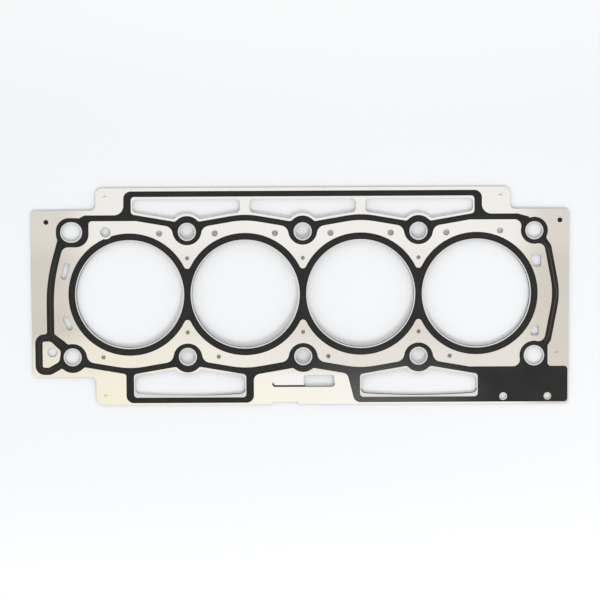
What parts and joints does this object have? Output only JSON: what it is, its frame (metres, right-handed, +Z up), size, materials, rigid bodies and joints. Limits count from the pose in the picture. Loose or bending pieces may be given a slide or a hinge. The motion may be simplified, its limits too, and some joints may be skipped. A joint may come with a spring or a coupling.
{
  "type": "cylinder head gasket",
  "caption": "Flat multi-layer steel head gasket for an in-line engine, with bore openings, bolt and coolant holes and a printed black seal pattern.",
  "frame": {"origin": "midway between cylinders 2 and 3, on the line through the bore centres, at the level of the underside", "axes": "+X along the cylinder row, +Y across it towards the long window frame, +Z up, out of the printed face"},
  "size_m": [0.3947, 0.1597, 0.001],
  "materials": {
    "stainless_sheet": "satin, cold-rolled",
    "seal_print": "satin black"
  },
  "bodies": {
    "root": {"upper_sheet": "stainless_sheet", "lower_sheet": "stainless_sheet", "upper_bore_print": "seal_print", "upper_perimeter_print": "seal_print", "left_registration_dot": "seal_print", "right_registration_dot": "seal_print"}
  },
  "joints": []
}
